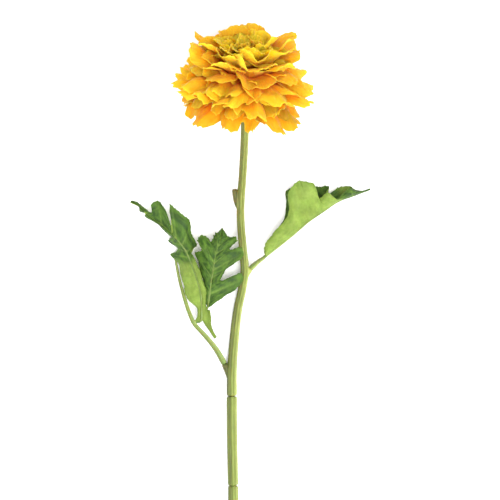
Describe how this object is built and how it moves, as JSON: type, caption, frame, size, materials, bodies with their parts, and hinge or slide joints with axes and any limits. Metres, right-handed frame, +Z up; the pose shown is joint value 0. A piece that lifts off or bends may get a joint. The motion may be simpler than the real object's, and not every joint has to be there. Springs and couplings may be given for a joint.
{
  "type": "marigold flower",
  "caption": "Cut marigold stem with a ruffled yellow-orange flower head and lobed green leaves, lying on its side.",
  "frame": {"origin": "middle of the underside, on the surface that the flower lies on", "axes": "+Y along the stem towards the flower head, +X to the right seen from above, +Z up from the surface"},
  "size_m": [0.1692, 0.3928, 0.0882],
  "materials": {
    "petal_outer": "soft woven cloth, golden yellow shading to orange at the foot",
    "petal_inner": "soft woven cloth, lemon yellow with a trace of green",
    "heart": "small crumpled cloth florets, olive yellow",
    "calyx": "moulded, matt green",
    "stem": "moulded, satin olive green with lengthwise ribs",
    "leaf_stalk": "moulded, satin pale green",
    "leaf": "printed cloth, dark green above and pale green below, with pressed veins"
  },
  "bodies": {
    "root": {"calyx": "calyx", "heart": "heart", "left_leaf_inner": "leaf", "left_leaf_outer": "leaf", "left_leaf_stalk": "leaf_stalk", "left_leaflet": "leaf", "petal_bowl_1": "petal_inner", "petal_bowl_2": "petal_inner", "petal_bowl_3": "petal_inner", "petal_bowl_4": "petal_inner", "petal_bowl_5": "petal_inner", "petal_bowl_6": "petal_inner", "petal_inner_1": "petal_inner", "petal_inner_2": "petal_inner", "petal_inner_3": "petal_inner", "petal_inner_4": "petal_inner", "petal_middle_1": "petal_outer", "petal_middle_2": "petal_outer", "petal_middle_3": "petal_outer", "petal_middle_4": "petal_outer", "petal_middle_5": "petal_outer", "petal_middle_6": "petal_outer", "petal_middle_7": "petal_outer", "petal_middle_8": "petal_outer", "petal_shoulder_1": "petal_outer", "petal_shoulder_2": "petal_outer", "petal_shoulder_3": "petal_outer", "petal_shoulder_4": "petal_outer", "petal_shoulder_5": "petal_outer", "petal_shoulder_6": "petal_outer", "petal_shoulder_7": "petal_outer", "petal_shoulder_8": "petal_outer", "petal_skirt_1": "petal_outer", "petal_skirt_2": "petal_outer", "petal_skirt_3": "petal_outer", "petal_skirt_4": "petal_outer", "petal_skirt_5": "petal_outer", "petal_skirt_6": "petal_outer", "petal_skirt_7": "petal_outer", "petal_skirt_8": "petal_outer", "petal_spread_1": "petal_outer", "petal_spread_2": "petal_outer", "petal_spread_3": "petal_outer", "petal_spread_4": "petal_outer", "petal_spread_5": "petal_outer", "petal_spread_6": "petal_outer", "petal_spread_7": "petal_outer", "petal_spread_8": "petal_outer", "petal_upright_1": "petal_outer", "petal_upright_2": "petal_outer", "petal_upright_3": "petal_outer", "petal_upright_4": "petal_outer", "petal_upright_5": "petal_outer", "petal_upright_6": "petal_outer", "petal_upright_7": "petal_outer", "right_leaf": "leaf", "right_leaf_stalk": "leaf_stalk", "stem_lower": "stem", "stem_middle": "stem", "stem_upper": "stem"}
  },
  "joints": []
}
